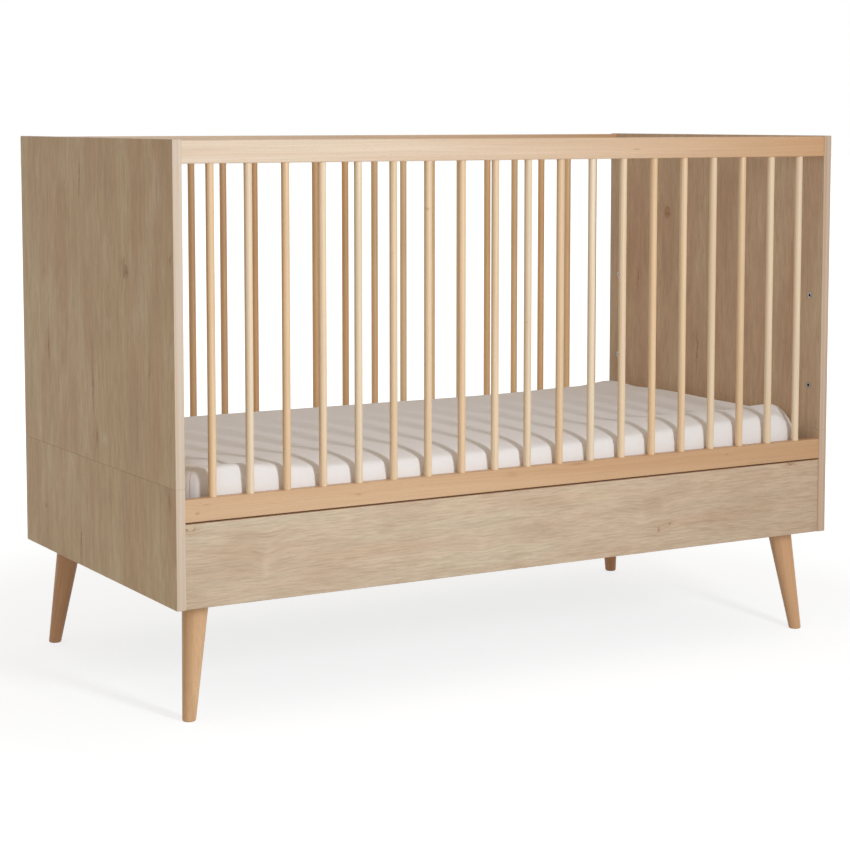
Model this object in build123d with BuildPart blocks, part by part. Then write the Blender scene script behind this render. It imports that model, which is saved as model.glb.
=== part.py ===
"""A baby's cot bed with board ends, slatted sides and a height-adjustable mattress base.

Millimetres. The origin is on the floor under the middle of the bed, +X runs along the
bed's length, +Y to its back and +Z up.
"""
from math import cos, pi, radians, sin, sqrt, tan
import os

from build123d import *

# Sleeping space, between the end panels and between the slatted sides
SLEEP_LENGTH = 1408.0
SLEEP_WIDTH = 702.0

# End panels of oak-faced board, each in a lower and an upper half
BOARD = 18.0
FLOOR_TO_PANEL = 207.0
LOWER_PANEL_HEIGHT = 211.0
UPPER_PANEL_HEIGHT = 598.0
EDGE_ROUND = 1.5
SEAM_BEVEL = 0.8

# Slatted sides: beech rails with round spindles let into them
RAIL_HEIGHT = 40.0
RAIL_THICKNESS = 19.0
RAIL_ROUND = 2.0
RAIL_SETBACK = 2.0
TOP_RAIL_DROP = 1.5
SPINDLE_DIAMETER = 14.5
SPINDLE_COUNT = 19
SPINDLE_END_SPACE = 56.0
SPINDLE_BEVEL = 1.0
SOCKET_DEPTH = 12.0
SOCKET_CLEARANCE = 0.1
SPINDLE_END_PLAY = 0.5

# Plinth boards under the slatted sides, below a narrow shadow gap
PLINTH_HEIGHT = 149.0
PLINTH_THICKNESS = 18.0
SHADOW_GAP = 3.0

# Turned legs, splayed outwards along the diagonals
LEG_TOP_DIAMETER = 48.0
LEG_TIP_DIAMETER = 24.0
LEG_SPLAY = 10.0
LEG_INSET = 47.0
LEG_TIP_ROUND = 3.0

# Corner blocks and the steel plates that the legs screw to
BLOCK_HEIGHT = 40.0
BLOCK_RECESS = 5.0
BLOCK_CHAMFER = 26.0
PLATE_SIZE = 66.0
PLATE_THICKNESS = 3.0
PLATE_CORNER = 8.0
PLATE_HOLE_DIAMETER = 4.5
PLATE_HOLE_INSET = 8.0
STUD_DIAMETER = 8.0
STUD_LENGTH = 36.0
STUD_CLEARANCE = 0.2

# Steel pins that join rails, plinths and panel halves
PIN_DIAMETER = 8.0
PIN_LENGTH = 40.0
PIN_IN_PANEL = 12.0
PIN_CLEARANCE = 0.1
PIN_END_PLAY = 0.5
PIN_BEVEL = 0.8
PLINTH_PIN_INSET = 30.0
SEAM_PIN_INSET = 92.0
SEAM_PIN_COUNT = 3

# Threaded inserts in the panels, one row for each height of the mattress base
LEVEL_COUNT = 3
LOWEST_LEVEL = 114.0
LEVEL_STEP = 185.0
INSERT_DIAMETER = 10.0
INSERT_LENGTH = 12.0
INSERT_CLEARANCE = 0.1
FLANGE_DIAMETER = 13.0
FLANGE_THICKNESS = 1.0

# Support bolts in the lowest inserts: a thread and a plain collar that carries the base
THREAD_DIAMETER = 6.0
THREAD_LENGTH = 10.0
THREAD_CLEARANCE = 0.1
COLLAR_DIAMETER = 10.0
COLLAR_LENGTH = 24.0
COLLAR_BEVEL = 1.0

# Slatted mattress base, saddled over the support bolts
BASE_CLEARANCE = 3.0
BASE_RAIL_WIDTH = 26.0
BASE_RAIL_HEIGHT = 21.0
SADDLE_DEPTH = 3.0
SADDLE_CLEARANCE = 0.3
SLAT_COUNT = 12
SLAT_WIDTH = 65.0
SLAT_THICKNESS = 9.0
SLAT_ROUND = 1.5

# Mattress in its fitted sheet
MATTRESS_CLEARANCE = 4.0
MATTRESS_HEIGHT = 80.0
MATTRESS_CORNER = 52.0
MATTRESS_TOP_ROUND = 26.0
MATTRESS_BOTTOM_ROUND = 16.0
MATTRESS_CROWN = 5.0
MATTRESS_CROWN_REACH = 150.0
MATTRESS_SEAT = 0.3
ROUND_STEPS = 3

# Planes and heights that the pieces share
inner_x = SLEEP_LENGTH / 2
inner_y = SLEEP_WIDTH / 2
panel_x = inner_x + BOARD / 2
panel_depth = 2 * (inner_y + max(RAIL_THICKNESS, PLINTH_THICKNESS) + RAIL_SETBACK)
rail_y = inner_y + RAIL_THICKNESS / 2
plinth_y = inner_y + PLINTH_THICKNESS / 2
panel_bottom = FLOOR_TO_PANEL
seam_z = panel_bottom + LOWER_PANEL_HEIGHT
panel_top = seam_z + UPPER_PANEL_HEIGHT
plinth_z = panel_bottom + PLINTH_HEIGHT / 2
bottom_rail_z = panel_bottom + PLINTH_HEIGHT + SHADOW_GAP + RAIL_HEIGHT / 2
top_rail_z = panel_top - TOP_RAIL_DROP - RAIL_HEIGHT / 2
spindle_pitch = (SLEEP_LENGTH - 2 * SPINDLE_END_SPACE) / (SPINDLE_COUNT - 1)
base_half_width = inner_y - BASE_CLEARANCE
base_half_length = inner_x - BASE_CLEARANCE
insert_y = base_half_width - BASE_RAIL_WIDTH / 2
level_heights = [panel_bottom + LOWEST_LEVEL + LEVEL_STEP * level for level in range(LEVEL_COUNT)]
saddle_radius = COLLAR_DIAMETER / 2 + SADDLE_CLEARANCE
base_bottom = level_heights[0] + saddle_radius - SADDLE_DEPTH
slat_bottom = base_bottom + BASE_RAIL_HEIGHT
base_top = slat_bottom + SLAT_THICKNESS
block_bottom = panel_bottom + BLOCK_RECESS
leg_top = block_bottom - PLATE_THICKNESS
leg_x = inner_x - LEG_INSET
leg_y = inner_y - LEG_INSET

ENDS = (("left", -1), ("right", 1))
SIDES = (("front", -1), ("rear", 1))
CORNERS = [(f"{side_name}_{end_name}", end, side) for side_name, side in SIDES for end_name, end in ENDS]
inner_faces = {end: Plane((end * inner_x, 0, 0), x_dir=(0, end, 0), z_dir=(end, 0, 0)) for _, end in ENDS}

os.makedirs("parts", exist_ok=True)


def leg_line(end, side):
    """The turning axis of a leg: its top on the plate, and its direction down and outwards."""
    lean = tan(radians(LEG_SPLAY)) / sqrt(2)
    return Axis((end * leg_x, side * leg_y, leg_top), (end * lean, side * lean, -1))


# Legs: a straight taper turned round the splayed axis, cut level at the floor and at the
# plate, with a bore for the plate's stud
leg_length = leg_top / cos(radians(LEG_SPLAY))
leg_allowance = LEG_TOP_DIAMETER * sin(radians(LEG_SPLAY))
leg_taper = (LEG_TIP_DIAMETER - LEG_TOP_DIAMETER) / (2 * leg_length)
for corner_name, end, side in CORNERS:
    turning_axis = leg_line(end, side)
    across = Vector(-side, end, 0)
    with BuildPart() as leg:
        with BuildSketch(
            Plane(turning_axis.position, x_dir=across, z_dir=across.cross(turning_axis.direction))
        ):
            with BuildLine():
                upper_radius = LEG_TOP_DIAMETER / 2 - leg_taper * leg_allowance
                lower_radius = LEG_TIP_DIAMETER / 2 + leg_taper * leg_allowance
                Polyline(
                    (0, -leg_allowance),
                    (upper_radius, -leg_allowance),
                    (lower_radius, leg_length + leg_allowance),
                    (0, leg_length + leg_allowance),
                    close=True,
                )
            make_face()
        revolve(axis=turning_axis)
        split(bisect_by=Plane.XY, keep=Keep.TOP)
        split(bisect_by=Plane.XY.offset(leg_top), keep=Keep.BOTTOM)
        fillet(leg.faces().sort_by(Axis.Z)[0].edges(), LEG_TIP_ROUND)
        with BuildSketch(Plane(turning_axis.position, z_dir=turning_axis.direction)):
            Circle(STUD_DIAMETER / 2 + STUD_CLEARANCE)
        extrude(amount=STUD_LENGTH + STUD_CLEARANCE, both=True, mode=Mode.SUBTRACT)
    leg.part.label = f"{corner_name}_leg"
    export_step(leg.part, f"parts/{corner_name}_leg.step")

# Leg plates: square steel plates under the corner blocks, each with a stud along its leg
with BuildPart() as leg_plates:
    with BuildSketch(Plane.XY.offset(leg_top)):
        with GridLocations(2 * leg_x, 2 * leg_y, 2, 2):
            RectangleRounded(PLATE_SIZE, PLATE_SIZE, PLATE_CORNER)
            hole_spacing = PLATE_SIZE - 2 * PLATE_HOLE_INSET
            with GridLocations(hole_spacing, hole_spacing, 2, 2):
                Circle(PLATE_HOLE_DIAMETER / 2, mode=Mode.SUBTRACT)
    extrude(amount=PLATE_THICKNESS)
    for _, end, side in CORNERS:
        stud_axis = leg_line(end, side)
        with BuildSketch(Plane(stud_axis.position, z_dir=stud_axis.direction).offset(-PLATE_THICKNESS / 2)):
            Circle(STUD_DIAMETER / 2)
        extrude(amount=STUD_LENGTH + PLATE_THICKNESS / 2)
leg_plates.part.label = "leg_plates"
export_step(leg_plates.part, "parts/leg_plates.step")

# Corner blocks: one in each bottom corner, against the end panel and the plinth
with BuildPart() as corner_blocks:
    with BuildSketch(Plane.XY.offset(block_bottom)):
        with GridLocations(2 * leg_x, 2 * leg_y, 2, 2):
            Rectangle(2 * LEG_INSET, 2 * LEG_INSET)
    extrude(amount=BLOCK_HEIGHT)
    for block in corner_blocks.solids():
        upright_edges = block.edges().filter_by(Axis.Z)
        free_edge = upright_edges.sort_by_distance((0, 0, block_bottom))[0]
        chamfer(free_edge, BLOCK_CHAMFER)
corner_blocks.part.label = "corner_blocks"
export_step(corner_blocks.part, "parts/corner_blocks.step")

# Lower and upper end panels, with blind holes for the pins and the threaded inserts
rail_pin_points = [(side * rail_y, height) for _, side in SIDES for height in (bottom_rail_z, top_rail_z)]
plinth_pin_reach = PLINTH_HEIGHT / 2 - PLINTH_PIN_INSET
plinth_pin_heights = [plinth_z - plinth_pin_reach, plinth_z + plinth_pin_reach]
seam_pin_pitch = (panel_depth - 2 * SEAM_PIN_INSET) / (SEAM_PIN_COUNT - 1)
plinth_pin_points = [(side * plinth_y, height) for _, side in SIDES for height in plinth_pin_heights]
insert_points = [(side * insert_y, height) for _, side in SIDES for height in level_heights]
for end_name, end in ENDS:
    halves = (
        ("lower", panel_bottom, LOWER_PANEL_HEIGHT, -1, -PIN_LENGTH / 2),
        ("upper", seam_z, UPPER_PANEL_HEIGHT, 0, PIN_LENGTH / 2 + PIN_END_PLAY),
    )
    for half_name, half_bottom, half_height, seam_face, seam_hole in halves:
        with BuildPart() as panel:
            with BuildSketch(Plane.XY.offset(half_bottom)):
                with Locations((end * panel_x, 0)):
                    Rectangle(BOARD, panel_depth)
            extrude(amount=half_height)
            seam_edges = panel.faces().sort_by(Axis.Z)[seam_face].edges()
            fillet(panel.edges() - seam_edges, EDGE_ROUND)
            chamfer(panel.faces().sort_by(Axis.Z)[seam_face].edges(), SEAM_BEVEL)
            with BuildSketch(Plane.XY.offset(seam_z)):
                with Locations((end * panel_x, 0)):
                    with GridLocations(0, seam_pin_pitch, 1, SEAM_PIN_COUNT):
                        Circle(PIN_DIAMETER / 2 + PIN_CLEARANCE)
            extrude(amount=seam_hole, mode=Mode.SUBTRACT)
            with BuildSketch(inner_faces[end]):
                with Locations(*rail_pin_points, *plinth_pin_points):
                    Circle(PIN_DIAMETER / 2 + PIN_CLEARANCE)
            extrude(amount=PIN_IN_PANEL, mode=Mode.SUBTRACT)
            with BuildSketch(inner_faces[end]):
                with Locations(*insert_points):
                    Circle(INSERT_DIAMETER / 2 + INSERT_CLEARANCE)
            extrude(amount=INSERT_LENGTH, mode=Mode.SUBTRACT)
        panel.part.label = f"{end_name}_{half_name}_panel"
        export_step(panel.part, f"parts/{end_name}_{half_name}_panel.step")

# Plinths and rails: straight bars between the end panels, drilled at both ends for pins,
# the rails also bored for the spindles
pin_in_bar = PIN_LENGTH - PIN_IN_PANEL + PIN_END_PLAY
for side_name, side in SIDES:
    with BuildPart() as plinth:
        with BuildSketch(Plane.YZ.offset(-inner_x)):
            with Locations((side * plinth_y, plinth_z)):
                RectangleRounded(PLINTH_THICKNESS, PLINTH_HEIGHT, EDGE_ROUND)
        extrude(amount=SLEEP_LENGTH)
        for _, end in ENDS:
            with BuildSketch(Plane.YZ.offset(end * inner_x)):
                with Locations(*[(side * plinth_y, height) for height in plinth_pin_heights]):
                    Circle(PIN_DIAMETER / 2 + PIN_CLEARANCE)
            extrude(amount=-end * pin_in_bar, mode=Mode.SUBTRACT)
    plinth.part.label = f"{side_name}_plinth"
    export_step(plinth.part, f"parts/{side_name}_plinth.step")

    for rail_name, rail_z, socket_sense in (("bottom", bottom_rail_z, 1), ("top", top_rail_z, -1)):
        with BuildPart() as rail:
            with BuildSketch(Plane.YZ.offset(-inner_x)):
                with Locations((side * rail_y, rail_z)):
                    RectangleRounded(RAIL_THICKNESS, RAIL_HEIGHT, RAIL_ROUND)
            extrude(amount=SLEEP_LENGTH)
            with BuildSketch(Plane.XY.offset(rail_z + socket_sense * RAIL_HEIGHT / 2)):
                with Locations((0, side * rail_y)):
                    with GridLocations(spindle_pitch, 0, SPINDLE_COUNT, 1):
                        Circle(SPINDLE_DIAMETER / 2 + SOCKET_CLEARANCE)
            extrude(amount=-socket_sense * SOCKET_DEPTH, mode=Mode.SUBTRACT)
            for _, end in ENDS:
                with BuildSketch(Plane.YZ.offset(end * inner_x)):
                    with Locations((side * rail_y, rail_z)):
                        Circle(PIN_DIAMETER / 2 + PIN_CLEARANCE)
                extrude(amount=-end * pin_in_bar, mode=Mode.SUBTRACT)
        rail.part.label = f"{side_name}_{rail_name}_rail"
        export_step(rail.part, f"parts/{side_name}_{rail_name}_rail.step")

# Spindles: plain turned dowels that stand on their socket floors in the bottom rail
spindle_bottom = bottom_rail_z + RAIL_HEIGHT / 2 - SOCKET_DEPTH
spindle_top = top_rail_z - RAIL_HEIGHT / 2 + SOCKET_DEPTH - SPINDLE_END_PLAY
for side_name, side in SIDES:
    for number in range(SPINDLE_COUNT):
        spindle_x = (number - (SPINDLE_COUNT - 1) / 2) * spindle_pitch
        with BuildPart() as spindle:
            with BuildSketch(Plane.XY.offset(spindle_bottom)):
                with Locations((spindle_x, side * rail_y)):
                    Circle(SPINDLE_DIAMETER / 2)
            extrude(amount=spindle_top - spindle_bottom)
            chamfer(spindle.edges().filter_by(GeomType.CIRCLE), SPINDLE_BEVEL)
        spindle.part.label = f"{side_name}_spindle_{number + 1:02d}"
        export_step(spindle.part, f"parts/{side_name}_spindle_{number + 1:02d}.step")

# Connector pins: identical steel pins in the bar ends and across the panel seams
with BuildPart() as connector_pins:
    for _, end in ENDS:
        with BuildSketch(inner_faces[end].offset(PIN_IN_PANEL)):
            with Locations(*rail_pin_points, *plinth_pin_points):
                Circle(PIN_DIAMETER / 2)
        extrude(amount=-PIN_LENGTH)
    with BuildSketch(Plane.XY.offset(seam_z - PIN_LENGTH / 2)):
        with GridLocations(2 * panel_x, seam_pin_pitch, 2, SEAM_PIN_COUNT):
            Circle(PIN_DIAMETER / 2)
    extrude(amount=PIN_LENGTH)
    chamfer(connector_pins.edges().filter_by(GeomType.CIRCLE), PIN_BEVEL)
connector_pins.part.label = "connector_pins"
export_step(connector_pins.part, "parts/connector_pins.step")

# Threaded inserts: flanged steel sleeves pressed into the panels' inner faces
with BuildPart() as threaded_inserts:
    for _, end in ENDS:
        with BuildSketch(inner_faces[end]):
            with Locations(*insert_points):
                Circle(INSERT_DIAMETER / 2)
        extrude(amount=INSERT_LENGTH)
        with BuildSketch(inner_faces[end]):
            with Locations(*insert_points):
                Circle(FLANGE_DIAMETER / 2)
        extrude(amount=-FLANGE_THICKNESS)
        with BuildSketch(inner_faces[end].offset(-FLANGE_THICKNESS)):
            with Locations(*insert_points):
                Circle(THREAD_DIAMETER / 2 + THREAD_CLEARANCE)
        extrude(amount=FLANGE_THICKNESS + INSERT_LENGTH, mode=Mode.SUBTRACT)
threaded_inserts.part.label = "threaded_inserts"
export_step(threaded_inserts.part, "parts/threaded_inserts.step")

# Support bolts: screwed into the lowest inserts, their collars stand out under the base
with BuildPart() as support_bolts:
    for _, end in ENDS:
        with BuildSketch(inner_faces[end].offset(-FLANGE_THICKNESS)):
            with Locations(*[(side * insert_y, level_heights[0]) for _, side in SIDES]):
                Circle(COLLAR_DIAMETER / 2)
        extrude(amount=-COLLAR_LENGTH)
    chamfer(support_bolts.edges().filter_by(GeomType.CIRCLE), COLLAR_BEVEL)
    for _, end in ENDS:
        with BuildSketch(inner_faces[end].offset(-FLANGE_THICKNESS)):
            with Locations(*[(side * insert_y, level_heights[0]) for _, side in SIDES]):
                Circle(THREAD_DIAMETER / 2)
        extrude(amount=FLANGE_THICKNESS + THREAD_LENGTH)
support_bolts.part.label = "support_bolts"
export_step(support_bolts.part, "parts/support_bolts.step")

# Mattress base rails: two long ones saddled over the bolts' collars, two short ones between
base_rail_span = 2 * (base_half_width - BASE_RAIL_WIDTH)
end_rail_x = base_half_length - BASE_RAIL_WIDTH / 2
with BuildPart() as long_rails:
    with BuildSketch(Plane.XY.offset(base_bottom)):
        with GridLocations(0, 2 * insert_y, 1, 2):
            Rectangle(2 * base_half_length, BASE_RAIL_WIDTH)
    extrude(amount=BASE_RAIL_HEIGHT)
    for _, end in ENDS:
        with BuildSketch(inner_faces[end]):
            with Locations(*[(side * insert_y, level_heights[0]) for _, side in SIDES]):
                Circle(saddle_radius)
        extrude(amount=-(FLANGE_THICKNESS + COLLAR_LENGTH + SADDLE_CLEARANCE), mode=Mode.SUBTRACT)
with BuildPart() as end_rails:
    with BuildSketch(Plane.XY.offset(base_bottom)):
        with GridLocations(2 * end_rail_x, 0, 2, 1):
            Rectangle(BASE_RAIL_WIDTH, base_rail_span)
    extrude(amount=BASE_RAIL_HEIGHT)
base_rails = Compound(label="base_rails", children=[*long_rails.solids(), *end_rails.solids()])
export_step(base_rails, "parts/base_rails.step")

# Slats: laid across the long rails, the first and last flush with the base's ends
slat_pitch = (2 * base_half_length - SLAT_WIDTH) / (SLAT_COUNT - 1)
with BuildPart() as base_slats:
    with BuildSketch(Plane.XZ.offset(-base_half_width)):
        with Locations((0, slat_bottom + SLAT_THICKNESS / 2)):
            with GridLocations(slat_pitch, 0, SLAT_COUNT, 1):
                RectangleRounded(SLAT_WIDTH, SLAT_THICKNESS, SLAT_ROUND)
    extrude(amount=2 * base_half_width)
base_slats.part.label = "base_slats"
export_step(base_slats.part, "parts/base_slats.step")

# Mattress: a loft up through level outlines, tucked in at the foot and rounded over the upper
# edge, then a second loft for the crown
mattress_length = SLEEP_LENGTH - 2 * MATTRESS_CLEARANCE
mattress_width = SLEEP_WIDTH - 2 * MATTRESS_CLEARANCE
mattress_bottom = base_top + MATTRESS_SEAT
crown_bottom = MATTRESS_HEIGHT - MATTRESS_CROWN
quarter_steps = [pi / 2 * step / ROUND_STEPS for step in range(ROUND_STEPS + 1)]
foot_outlines = [
    (MATTRESS_BOTTOM_ROUND * (1 - sin(turn)), MATTRESS_BOTTOM_ROUND * (1 - cos(turn)))
    for turn in quarter_steps
]
edge_outlines = [
    (MATTRESS_TOP_ROUND * (1 - cos(turn)), crown_bottom - MATTRESS_TOP_ROUND * (1 - sin(turn)))
    for turn in quarter_steps
]
crown_outlines = [
    (MATTRESS_TOP_ROUND + MATTRESS_CROWN_REACH * turn / (pi / 2), crown_bottom + MATTRESS_CROWN * sin(turn))
    for turn in quarter_steps
]
with BuildPart() as mattress:
    for outlines in (foot_outlines + edge_outlines, crown_outlines):
        for inset, height in outlines:
            with BuildSketch(Plane.XY.offset(mattress_bottom + height)):
                RectangleRounded(
                    mattress_length - 2 * inset,
                    mattress_width - 2 * inset,
                    MATTRESS_CORNER - min(inset, MATTRESS_TOP_ROUND),
                )
        loft()
mattress.part.label = "mattress"
export_step(mattress.part, "parts/mattress.step")
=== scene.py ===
# A baby cot, dressed as it is put together: legs, ends, plinths, slatted sides, fittings, base, mattress.
# Everything is in metres, in the cot's own frame: X along the cot, Y towards its back, Z up from the floor.
import math

import bpy
from mathutils import Matrix, Vector, noise


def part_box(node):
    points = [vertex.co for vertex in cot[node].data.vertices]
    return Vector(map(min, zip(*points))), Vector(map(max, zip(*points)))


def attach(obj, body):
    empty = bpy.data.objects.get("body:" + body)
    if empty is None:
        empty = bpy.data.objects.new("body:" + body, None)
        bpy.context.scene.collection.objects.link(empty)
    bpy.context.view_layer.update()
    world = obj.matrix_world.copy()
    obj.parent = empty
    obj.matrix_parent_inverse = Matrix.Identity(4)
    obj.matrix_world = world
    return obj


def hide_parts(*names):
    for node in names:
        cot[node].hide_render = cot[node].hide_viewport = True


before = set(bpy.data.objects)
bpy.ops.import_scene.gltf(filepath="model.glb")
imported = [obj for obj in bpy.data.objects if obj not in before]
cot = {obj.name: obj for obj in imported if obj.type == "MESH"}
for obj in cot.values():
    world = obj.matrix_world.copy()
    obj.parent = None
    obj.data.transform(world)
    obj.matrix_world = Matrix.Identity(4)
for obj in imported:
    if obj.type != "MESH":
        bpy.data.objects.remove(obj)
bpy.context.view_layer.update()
scene = bpy.context.scene


# Legs. Four beech legs, turned to a taper and splayed out to the corners, each on a stud of its plate.
# The lathe leaves the grain along the leg, so the pattern leans with it; a matt lacquer closes the wood.
LEG_LEAN = 0.1247           # outward run of a leg for each metre of height, along X and along Y
LEG_SHIFT = 0.7             # moves the grain on from left to right, so that the legs do not mirror each other
LEG_PALE, LEG_DEEP = (0.85, 0.562, 0.323, 1), (0.66, 0.385, 0.194, 1)
# painted shade: the right legs are darkened where the light falls off to the right, the rear legs where the
# cot shades them
RIGHT_LEG_SHADE, REAR_LEG_SHADE = (0.96, 0.90, 0.87, 1), (0.90, 0.80, 0.77, 1)
TURNED_RELIEF = 0.12, 0.0006            # strength and depth of the bump, here and in every relief
# waves of the grain per metre, in the two directions across it and along it
BAND_WAVES, STREAK_WAVES = (31, 31, 0.9), (130, 130, 2.2)
FIBRE_WAVES, FLECK_WAVES = (520, 520, 6.0), (1050, 1050, 150)
FIBRE_BROWN, FLECK_BROWN = (0.36, 0.20, 0.10, 1), (0.36, 0.19, 0.09, 1)
# how much of the deep colour the grain and its streaks bring, and how far fibres and flecks show
GRAIN_SHARE, STREAK_SHARE, FIBRE_SHARE, FLECK_SHARE = 0.62, 0.45, 0.16, 0.22


def feed(tree, socket, value):
    """Links a socket to another one, or sets its plain value."""
    if isinstance(value, bpy.types.NodeSocket):
        tree.links.new(value, socket)
    else:
        socket.default_value = value


def lay(tree, kind, *values, out=0, **settings):
    """Adds a node, sets it up, feeds its inputs in order (None leaves one alone), and gives its output."""
    node = tree.nodes.new("ShaderNode" + kind)
    for setting, value in settings.items():
        setattr(node, setting, value)
    sockets = [s for s in node.inputs if s.enabled and not s.is_unavailable]
    for socket, value in zip(sockets, values):
        if value is not None:
            feed(tree, socket, value)
    return [s for s in node.outputs if s.enabled][out]


def figure(tree, *values, do="MULTIPLY", limit=False):
    """One step of arithmetic."""
    return lay(tree, "Math", *values, operation=do, use_clamp=limit)


def between(tree, value, low, high, to_low=0.0, to_high=1.0):
    """Stretches a value from one range to another, stopping at the ends."""
    return lay(tree, "MapRange", value, low, high, to_low, to_high)


def directions(tree, place):
    """The three coordinates of a place."""
    return [lay(tree, "SeparateXYZ", place, out=i) for i in range(3)]


def cloud(tree, place, waves, detail=2.0, rough=0.5):
    """Noise with so many waves per metre in the three directions of a place."""
    scaled = lay(tree, "VectorMath", place, waves, operation="MULTIPLY")
    return lay(tree, "TexNoise", scaled, 1.0, detail, rough)


def tinted(tree, share, first, second, blend="MIX"):
    """One colour over another, by share."""
    return lay(tree, "Mix", share, first, second, data_type="RGBA", blend_type=blend)


def shared_effect(name, takes, gives):
    """An empty node group with its sockets; returns the tree, its inputs and its outputs."""
    tree = bpy.data.node_groups.new(name, "ShaderNodeTree")
    for title, kind in takes:
        tree.interface.new_socket(title, in_out="INPUT", socket_type="NodeSocket" + kind)
    for title, kind in gives:
        tree.interface.new_socket(title, in_out="OUTPUT", socket_type="NodeSocket" + kind)
    return tree, tree.nodes.new("NodeGroupInput").outputs, tree.nodes.new("NodeGroupOutput").inputs


def placed(tree, effect, **values):
    """Puts a node group in a material and feeds its named inputs; returns its outputs."""
    node = tree.nodes.new("ShaderNodeGroup")
    node.node_tree = effect
    for title, value in values.items():
        feed(tree, node.inputs[title.replace("_", " ").capitalize()], value)
    return node.outputs


def finish_of(name, **uniform):
    """A new material: returns it with its tree, its Principled shader and the object coordinates."""
    material = bpy.data.materials.new(name)
    material.use_nodes = True
    tree = material.node_tree
    shader = tree.nodes["Principled BSDF"]
    for title, value in uniform.items():
        shader.inputs[title.replace("_", " ")].default_value = value
    place = tree.nodes.new("ShaderNodeTexCoord").outputs["Object"]
    return material, tree, shader, place


def raised(tree, shader, height, relief):
    """Feeds a height through a Bump node into the shader's normal."""
    bump = tree.nodes.new("ShaderNodeBump")
    bump.inputs["Strength"].default_value, bump.inputs["Distance"].default_value = relief
    tree.links.new(height, bump.inputs["Height"])
    tree.links.new(bump.outputs["Normal"], shader.inputs["Normal"])


def surfaced(tree, shader, colour, roughness, height, relief):
    """Feeds a colour, a roughness and a raised pattern into the shader."""
    tree.links.new(colour, shader.inputs["Base Color"])
    tree.links.new(roughness, shader.inputs["Roughness"])
    raised(tree, shader, height, relief)


def dress(material, *names):
    """Gives CAD nodes their finish."""
    for name in names:
        cot[name].data.materials.clear()
        cot[name].data.materials.append(material)


# the even, close grain of solid wood, running along the third direction of its place
wood_grain, takes, gives = shared_effect(
    "wood grain",
    [("Place", "Vector"), ("Pale", "Color"), ("Deep", "Color")],
    [("Colour", "Color"), ("Roughness", "Float"), ("Height", "Float")],
)
t = wood_grain
bands = cloud(t, takes["Place"], BAND_WAVES, 3, 0.55)
streaks = cloud(t, takes["Place"], STREAK_WAVES, 2, 0.6)
fibres = cloud(t, takes["Place"], FIBRE_WAVES, 2, 0.6)
flecks = between(t, cloud(t, takes["Place"], FLECK_WAVES, 0), 0.68, 0.86)
share = between(t, figure(t, bands, 0.65), 0.20, 0.46)
share = figure(t, share, figure(t, between(t, streaks, 0.35, 0.68), STREAK_SHARE), do="ADD")
share = figure(t, share, GRAIN_SHARE, limit=True)
colour = tinted(t, share, takes["Pale"], takes["Deep"])
colour = tinted(t, between(t, fibres, 0.40, 0.72, 0.0, FIBRE_SHARE), colour, FIBRE_BROWN)
colour = tinted(t, figure(t, flecks, FLECK_SHARE), colour, FLECK_BROWN)
t.links.new(colour, gives["Colour"])
t.links.new(between(t, fibres, 0.2, 0.8, 0.40, 0.56), gives["Roughness"])
t.links.new(figure(t, fibres, figure(t, flecks, 0.6), do="SUBTRACT"), gives["Height"])

turned_beech, t, shader, place = finish_of("turned beech", Specular_IOR_Level=0.4)
x, y, z = directions(t, place)
lean = figure(t, z, LEG_LEAN)
straight_x = figure(t, figure(t, x, do="ABSOLUTE"), lean, do="ADD")
straight_y = figure(t, figure(t, y, do="ABSOLUTE"), lean, do="ADD")
straight_y = figure(t, straight_y, figure(t, x, LEG_SHIFT), do="ADD")
straight = lay(t, "CombineXYZ", straight_x, straight_y, z)
grain = placed(t, wood_grain, place=straight, pale=LEG_PALE, deep=LEG_DEEP)
on_right, at_rear = (figure(t, way, 0.0, do="GREATER_THAN") for way in (x, y))
# painted shade laid over the grain: darker on the right, darker still at the rear
colour = tinted(t, on_right, grain["Colour"], RIGHT_LEG_SHADE, "MULTIPLY")
colour = tinted(t, at_rear, colour, REAR_LEG_SHADE, "MULTIPLY")
surfaced(t, shader, colour, grain["Roughness"], grain["Height"], TURNED_RELIEF)
dress(turned_beech, "front_left_leg", "front_right_leg", "rear_left_leg", "rear_right_leg")


# Leg plates and corner blocks. A pressed zinc plate carries each leg's stud under a block of solid pine
# glued into the corner of the frame; four pan-head screws hold the plate up to the block.
ZINC_PALE, ZINC_DULL = (0.66, 0.66, 0.64, 1), (0.45, 0.46, 0.47, 1)
SCREW_ZINC = (0.70, 0.69, 0.65, 1), (0.52, 0.52, 0.50, 1)
PINE_PALE, PINE_DEEP = (0.72, 0.53, 0.32, 1), (0.58, 0.38, 0.19, 1)
ZINC_RELIEF, PINE_RELIEF = (0.06, 0.0002), (0.3, 0.0008)
PLATE_X, PLATE_Y, PLATE_UNDERSIDE, PLATE_THICKNESS = 0.657, 0.304, 0.209, 0.003
SCREW_FROM_CENTRE = 0.025
SCREW_RADIUS, SCREW_HEAD_RADIUS, SCREW_HEAD_HEIGHT = 0.0021, 0.0041, 0.0022
# the rings of the head: each one's drop as a share of the height, and how it grows from the ring before
SCREW_HEAD_RINGS = ((0, SCREW_HEAD_RADIUS / SCREW_RADIUS), (0.45, 1.0), (0.35, 0.86), (0.2, 0.62))
CROSS_SLOT, CROSS_BEVEL = (0.0048, 0.0009, 0.0022), 0.0002

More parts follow.
